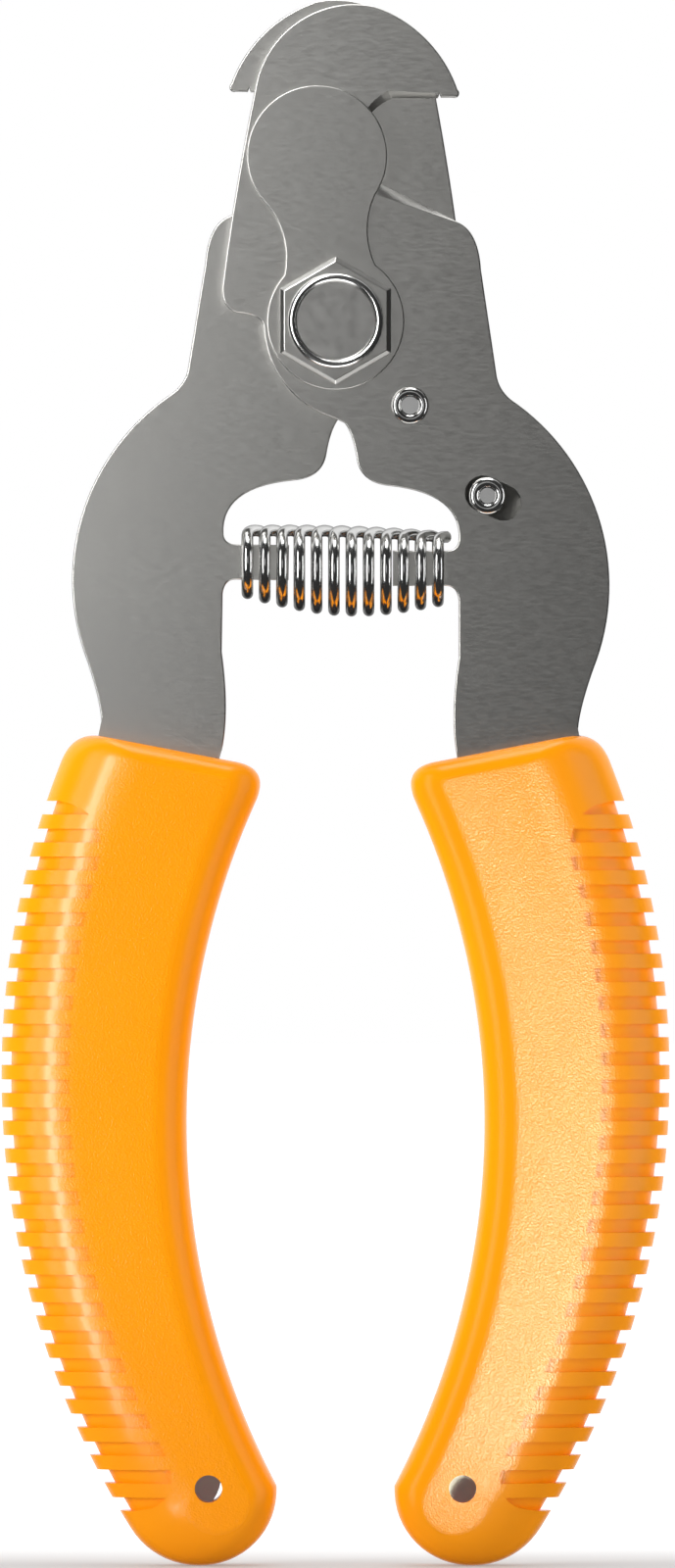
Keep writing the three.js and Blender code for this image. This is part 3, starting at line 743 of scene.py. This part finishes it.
def spring_tree():
    """Node group that winds a wire round the line between two ends, wider in the middle."""
    tree = bpy.data.node_groups.new("barrel_coil", "GeometryNodeTree")
    for name, value in SPRING_SIZES.items():
        socket = tree.interface.new_socket(name, in_out="INPUT", socket_type="NodeSocketFloat")
        socket.default_value = value
    tree.interface.new_socket("Material", in_out="INPUT", socket_type="NodeSocketMaterial")
    tree.interface.new_socket("Geometry", in_out="OUTPUT", socket_type="NodeSocketGeometry")
    start = tree.nodes.new("NodeGroupInput").outputs
    line = tree.nodes.new("GeometryNodeCurvePrimitiveLine")
    line.inputs["End"].default_value = (1, 0, 0)
    fine = tree.nodes.new("GeometryNodeResampleCurve")
    fine.inputs["Count"].default_value = SPRING_POINTS
    tree.links.new(line.outputs[0], fine.inputs["Curve"])
    share = tree.nodes.new("GeometryNodeSplineParameter").outputs["Factor"]
    belly = node_maths(tree, "SINE", node_maths(tree, "MULTIPLY", share, math.pi))
    swell = node_maths(tree, "SUBTRACT", start["Belly Radius"], start["End Radius"])
    radius = node_maths(tree, "ADD", start["End Radius"], node_maths(tree, "MULTIPLY", swell, belly))
    full = node_maths(tree, "MULTIPLY", start["Turns"], 2 * math.pi)
    angle = node_maths(tree, "SUBTRACT", node_maths(tree, "MULTIPLY", share, full), math.pi / 2)
    turn = node_maths(tree, "MULTIPLY", share, start["Turns"])
    step = spread(tree, node_maths(tree, "FRACT", turn), 0.0, 1.0, *ADVANCE)
    step.node.interpolation_type = "SMOOTHSTEP"
    pitch = node_maths(tree, "DIVIDE", start["Length"], start["Turns"])
    stepped = node_maths(tree, "ADD", node_maths(tree, "FLOOR", turn), step)
    advance = node_maths(tree, "MULTIPLY", pitch, stepped)
    across = node_maths(tree, "MULTIPLY", radius, node_maths(tree, "COSINE", angle))
    up = node_maths(tree, "MULTIPLY", radius, node_maths(tree, "SINE", angle))
    place = tree.nodes.new("ShaderNodeCombineXYZ")
    tree.links.new(advance, place.inputs[0])
    tree.links.new(node_maths(tree, "MULTIPLY", across, -1), place.inputs[1])
    sagged = node_maths(tree, "SUBTRACT", up, node_maths(tree, "MULTIPLY", start["Sag"], belly))
    tree.links.new(sagged, place.inputs[2])
    wind = tree.nodes.new("GeometryNodeSetPosition")
    tree.links.new(fine.outputs[0], wind.inputs["Geometry"])
    tree.links.new(place.outputs[0], wind.inputs["Position"])
    section = tree.nodes.new("GeometryNodeCurvePrimitiveCircle")
    section.inputs["Resolution"].default_value = 16
    tree.links.new(start["Wire Radius"], section.inputs["Radius"])
    sweep = tree.nodes.new("GeometryNodeCurveToMesh")
    sweep.inputs["Fill Caps"].default_value = True
    tree.links.new(wind.outputs[0], sweep.inputs["Curve"])
    tree.links.new(section.outputs[0], sweep.inputs["Profile Curve"])
    whole = tree.nodes.new("GeometryNodeRealizeInstances")
    tree.links.new(sweep.outputs[0], whole.inputs[0])
    paint = tree.nodes.new("GeometryNodeSetMaterial")
    tree.links.new(whole.outputs[0], paint.inputs["Geometry"])
    tree.links.new(start["Material"], paint.inputs["Material"])
    tree.links.new(paint.outputs[0], tree.nodes.new("NodeGroupOutput").inputs[0])
    return tree


def make_spring():
    """The coil between the two pegs, wound once to where they stand at rest; the real one shortens
    and stretches as the handles move.
    """
    peg = Vector((11.25, -1.3, -25.2))
    turn = Matrix.Rotation(math.radians(REAR_TILT), 4, "Y") @ Matrix.Rotation(math.pi, 4, "Z")
    rear = turn @ peg
    rear += Vector((REAR_SHIFT[0], 0, REAR_SHIFT[1]))
    left_clearance, right_overrun = 1.17, 0.08
    left, right = rear + Vector((left_clearance, 0, 0)), peg + Vector((right_overrun, 0, 0))
    line = right - left
    tree = spring_tree()
    spring = new_object("barrel_spring", bmesh.new())
    wind = spring.modifiers.new("wind", "NODES")
    wind.node_group = tree
    sizes = {**SPRING_SIZES, "Length": line.x * MM, "Material": bright_steel()}
    for item in tree.interface.items_tree:
        if item.item_type == "SOCKET" and item.in_out == "INPUT":
            wind[item.identifier] = sizes[item.name]
    settle(spring)
    # the ends differ in height and depth, and the coils stay upright: sheared, not turned
    lean = Matrix.Identity(4)
    lean[1][0], lean[2][0] = line.y / line.x, line.z / line.x
    spring.data.transform(Matrix.Translation(point_at(*left)) @ lean)
    spring.data.shade_smooth()
    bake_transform(spring)
    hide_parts("return_spring")
    return spring


# ---------------------------------------------------------------- materials

made = {}


def material(name, build):
    """Builds a material once and gives the same one afterwards."""
    if name not in made:
        paint = bpy.data.materials.new(name)
        paint.use_nodes = True
        tree = paint.node_tree
        build(tree, tree.nodes["Principled BSDF"])
        made[name] = paint
    return made[name]


def object_place(tree):
    return tree.nodes.new("ShaderNodeTexCoord").outputs["Object"]


def noise(tree, scale, detail=2.0, place=None, stretch=None):
    source = place or object_place(tree)
    if stretch:
        mapping = tree.nodes.new("ShaderNodeMapping")
        mapping.inputs["Scale"].default_value = stretch
        tree.links.new(source, mapping.inputs["Vector"])
        source = mapping.outputs[0]
    texture = tree.nodes.new("ShaderNodeTexNoise")
    texture.inputs["Scale"].default_value = scale
    texture.inputs["Detail"].default_value = detail
    tree.links.new(source, texture.inputs["Vector"])
    return texture.outputs["Fac"]


def spread(tree, source, low, high, from_low=0.3, from_high=0.7):
    """Maps a range of the source, as a noise's middle, onto low to high."""
    ramp = tree.nodes.new("ShaderNodeMapRange")
    ramp.inputs["From Min"].default_value = from_low
    ramp.inputs["From Max"].default_value = from_high
    ramp.inputs["To Min"].default_value = low
    ramp.inputs["To Max"].default_value = high
    tree.links.new(source, ramp.inputs["Value"])
    return ramp.outputs[0]


def tint(tree, source, low, high):
    """A colour between two, as the source goes from 0 to 1."""
    mix = tree.nodes.new("ShaderNodeMix")
    mix.data_type = "RGBA"
    mix.inputs["A"].default_value = (*low, 1)
    mix.inputs["B"].default_value = (*high, 1)
    tree.links.new(source, mix.inputs["Factor"])
    return mix.outputs["Result"]


def bump(tree, shader, source, strength, distance):
    node = tree.nodes.new("ShaderNodeBump")
    node.inputs["Strength"].default_value = strength
    node.inputs["Distance"].default_value = distance
    tree.links.new(source, node.inputs["Height"])
    tree.links.new(node.outputs[0], shader.inputs["Normal"])


SATIN = (0.29, 0.33)        # roughness


def blade_steel():
    """Satin steel with a faint grain that runs across."""
    def build(tree, shader):
        shader.inputs["Metallic"].default_value = 1.0
        cloud = noise(tree, 60, 3)
        tree.links.new(tint(tree, cloud, (0.40, 0.395, 0.38), (0.43, 0.425, 0.405)),
                       shader.inputs["Base Color"])
        grain = noise(tree, 900, 2, stretch=(1, 1, 6))
        tree.links.new(spread(tree, grain, *SATIN), shader.inputs["Roughness"])
        bump(tree, shader, grain, 0.08, 0.00002)
    return material("blade_steel_satin", build)


def bright_steel():
    """Bright plating, darker at its edges."""
    def build(tree, shader):
        shader.inputs["Metallic"].default_value = 1.0
        shader.inputs["Specular Tint"].default_value = (0.25, 0.25, 0.25, 1)
        cloud = noise(tree, 300, 2)
        tree.links.new(tint(tree, cloud, (0.80, 0.80, 0.79), (0.88, 0.88, 0.87)),
                       shader.inputs["Base Color"])
        tree.links.new(spread(tree, cloud, 0.12, 0.18), shader.inputs["Roughness"])
    return material("bright_plated_steel", build)


def screw_steel():
    """Satin on the end face, plated outside it."""
    def build(tree, shader):
        shader.inputs["Metallic"].default_value = 1.0
        place = object_place(tree)
        parts = tree.nodes.new("ShaderNodeSeparateXYZ")
        tree.links.new(place, parts.inputs[0])
        height = node_maths(tree, "SUBTRACT", parts.outputs["Z"], PIVOT_HEIGHT * MM)
        across = node_maths(tree, "POWER", parts.outputs["X"], 2)
        squares = node_maths(tree, "ADD", across, node_maths(tree, "POWER", height, 2))
        reach = node_maths(tree, "SQRT", squares)
        outside = spread(tree, reach, 0.0, 1.0, 0.00395, 0.00405)
        tree.links.new(tint(tree, outside, (0.42, 0.415, 0.40), (0.66, 0.66, 0.65)),
                       shader.inputs["Base Color"])
        grain = noise(tree, 900, 2)
        satin = spread(tree, grain, *SATIN)
        fade = tree.nodes.new("ShaderNodeMix")
        tree.links.new(outside, fade.inputs["Factor"])
        tree.links.new(satin, fade.inputs["A"])
        fade.inputs["B"].default_value = 0.2
        tree.links.new(fade.outputs["Result"], shader.inputs["Roughness"])
    return material("screw_steel", build)


def vinyl():
    """Orange dipped vinyl, with a fine grain on its broad faces only."""
    def build(tree, shader):
        shader.inputs["IOR"].default_value = 1.4
        cloud = noise(tree, 90, 2)
        tree.links.new(tint(tree, cloud, (1.0, 0.315, 0.001), (1.0, 0.340, 0.003)),
                       shader.inputs["Base Color"])
        place = tree.nodes.new("ShaderNodeTexCoord")
        parts = tree.nodes.new("ShaderNodeSeparateXYZ")
        tree.links.new(place.outputs["Normal"], parts.inputs[0])
        facing = node_maths(tree, "ABSOLUTE", parts.outputs["Y"])
        flat = spread(tree, facing, 0.0, 1.0, 0.965, 0.995)
        tree.links.new(spread(tree, flat, 0.24, 0.30, 0, 1), shader.inputs["Roughness"])
        grain = noise(tree, 5000, 2, place=place.outputs["Object"])
        height = node_maths(tree, "MULTIPLY", grain, flat)
        bump(tree, shader, height, 0.8, 0.00007)
    return material("orange_vinyl", build)


def floor_painted_glow():
    """Pale floor with a painted glow: it glows dim close behind the clipper, as painted shade, and
    grows white farther behind it.
    """
    def build(tree, shader):
        cloud = noise(tree, 3, 1)
        tree.links.new(tint(tree, cloud, (0.30, 0.30, 0.30), (0.32, 0.32, 0.32)),
                       shader.inputs["Base Color"])
        shader.inputs["Roughness"].default_value = 0.7
        shader.inputs["Emission Color"].default_value = (1, 1, 1, 1)
        parts = tree.nodes.new("ShaderNodeSeparateXYZ")
        tree.links.new(object_place(tree), parts.inputs[0])
        # painted light: the floor glows, dimmer near the clipper as painted shade and white farther
        # back
        tree.links.new(spread(tree, parts.outputs["Y"], 0.27, 0.85, 0.0, 0.11),
                       shader.inputs["Emission Strength"])
    return material("pale_floor_painted_glow", build)


# ---------------------------------------------------------------- studio

def make_camera():
    """Looks level at the clipper's front and shows 160 mm of height."""
    distance, sensor, shown = 3.0, 36.0, 0.160
    aim_x, aim_height = 0.0002, 0.0797
    data = bpy.data.cameras.new("camera")
    data.sensor_width = sensor
    data.lens = sensor * distance / shown
    camera = bpy.data.objects.new("camera", data)
    camera.location = (aim_x, -distance, aim_height)
    camera.rotation_euler = (math.pi / 2, 0, 0)
    bpy.context.scene.collection.objects.link(camera)
    bpy.context.scene.camera = camera
    bpy.context.scene.view_settings.view_transform = "Standard"


def panel(name, centre, target, width, height, radiance, only=None, gives="both", shadow=True):
    """A light of an even radiance, which can be kept to some pieces, or to sheen or shade."""
    data = bpy.data.lights.new(name, "AREA")
    data.shape = "RECTANGLE"
    data.size, data.size_y = width, height
    data.energy = radiance * math.pi * width * height
    data.use_shadow = shadow
    light = bpy.data.objects.new(name, data)
    light.location = centre
    light.rotation_euler = (Vector(target) - Vector(centre)).to_track_quat("-Z", "Y").to_euler()
    light.visible_diffuse = gives != "sheen"
    light.visible_glossy = gives != "shade"
    bpy.context.scene.collection.objects.link(light)
    if only:
        lit = bpy.data.collections.new(name + "_lit")
        for piece in only:
            lit.objects.link(piece)
        light.light_linking.receiver_collection = lit
    return light


def make_floor():
    """Starts close in front of the clipper, so that the steel doesn't mirror it."""
    half_width, front, behind = 6, -0.06, 6
    corners = [(-half_width, front), (half_width, front),
               (half_width, behind), (-half_width, behind)]
    bm = bmesh.new()
    bm.faces.new([bm.verts.new((x, y, 0)) for x, y in corners])
    floor = new_object("floor", bm)
    floor.data.materials.append(floor_painted_glow())
    floor.visible_glossy = False


def make_world():
    """White behind and above the clipper, dark below it and on the side it faces."""
    world = bpy.data.worlds.new("studio")
    world.use_nodes = True
    bpy.context.scene.world = world
    tree = world.node_tree
    background = tree.nodes["Background"]
    place = tree.nodes.new("ShaderNodeTexCoord")
    parts = tree.nodes.new("ShaderNodeSeparateXYZ")
    tree.links.new(place.outputs["Generated"], parts.inputs[0])
    raised = node_maths(tree, "MULTIPLY", parts.outputs["Z"], 0.6)
    toward_back = node_maths(tree, "ADD", parts.outputs["Y"], raised)
    behind = spread(tree, toward_back, 0.0, 1.0, 0.25, 0.6)
    not_below = spread(tree, parts.outputs["Z"], 0.0, 1.0, -0.6, -0.1)
    white = node_maths(tree, "MULTIPLY", behind, not_below)
    tree.links.new(tint(tree, white, (0.03, 0.03, 0.03), (1.0, 1.0, 1.0)),
                   background.inputs["Color"])
    background.inputs["Strength"].default_value = 1.0


def make_lights(steel, plated, right_grip, left_grip):
    """Keys for the colour, and panels that each give one finish its reflections."""
    middle, head, spring_height = (0, 0, 0.08), (0, 0, 0.12), (0, 0, 0.10)
    plates_and_guard = steel[:3]
    panel("left_key", (-0.66, -0.46, 0.10), middle, 0.25, 0.9, 13, gives="shade")
    panel("right_key", (0.72, -0.38, 0.10), middle, 0.5, 0.9, 3.9, gives="shade")
    panel("top_panel", (0, -0.1, 0.9), middle, 0.5, 0.5, 4)
    panel("steel_strip", (-0.112, -0.22, 0.235), head, 0.07, 0.37, 16, steel, shadow=False)
    panel("edge_strip", (-0.72, -0.35, 0.12), head, 0.3, 0.6, 3.2, plates_and_guard, shadow=False)
    panel("edge_top", (0, 0.35, 0.9), head, 0.6, 0.3, 5, steel, shadow=False)
    panel("edge_low", (0, -0.16, -0.45), (0, 0, 0.14), 0.6, 0.5, 3.4, steel, shadow=False)
    panel("plated_front", (-0.12, -0.95, 0.2), spring_height, 0.35, 0.35, 0.4, plated)
    panel("plated_left", (-0.5, -0.5, 0.2), spring_height, 0.2, 0.8, 4, plated)
    panel("plated_right", (0.6, -0.3, 0.1), spring_height, 0.15, 0.6, 2.5, plated)
    panel("left_sheen", (-0.50, -0.75, 0.10), middle, 0.06, 0.6, 42, [left_grip], gives="sheen")
    veil = panel("right_sheen", (0.07, -0.43, -0.045), (0.02, 0, 0.04), 0.10, 0.10, 115,
                 [right_grip], gives="sheen")
    veil.data.color = (1.0, 1.0, 0.75)


make_camera()
make_floor()
make_world()
steel = [make_front_plate(), make_rear_plate(), make_guard(), make_nut(), make_bolt()]
plated = [make_washer(), *make_rivets(), make_button(), make_spring()]
finish_lock_slide()
right_grip = make_grip("right_grip_cover", "front", "right_grip", False)
left_grip = make_grip("left_grip_cover", "rear", "left_grip", True)
make_lights(steel, plated, right_grip, left_grip)
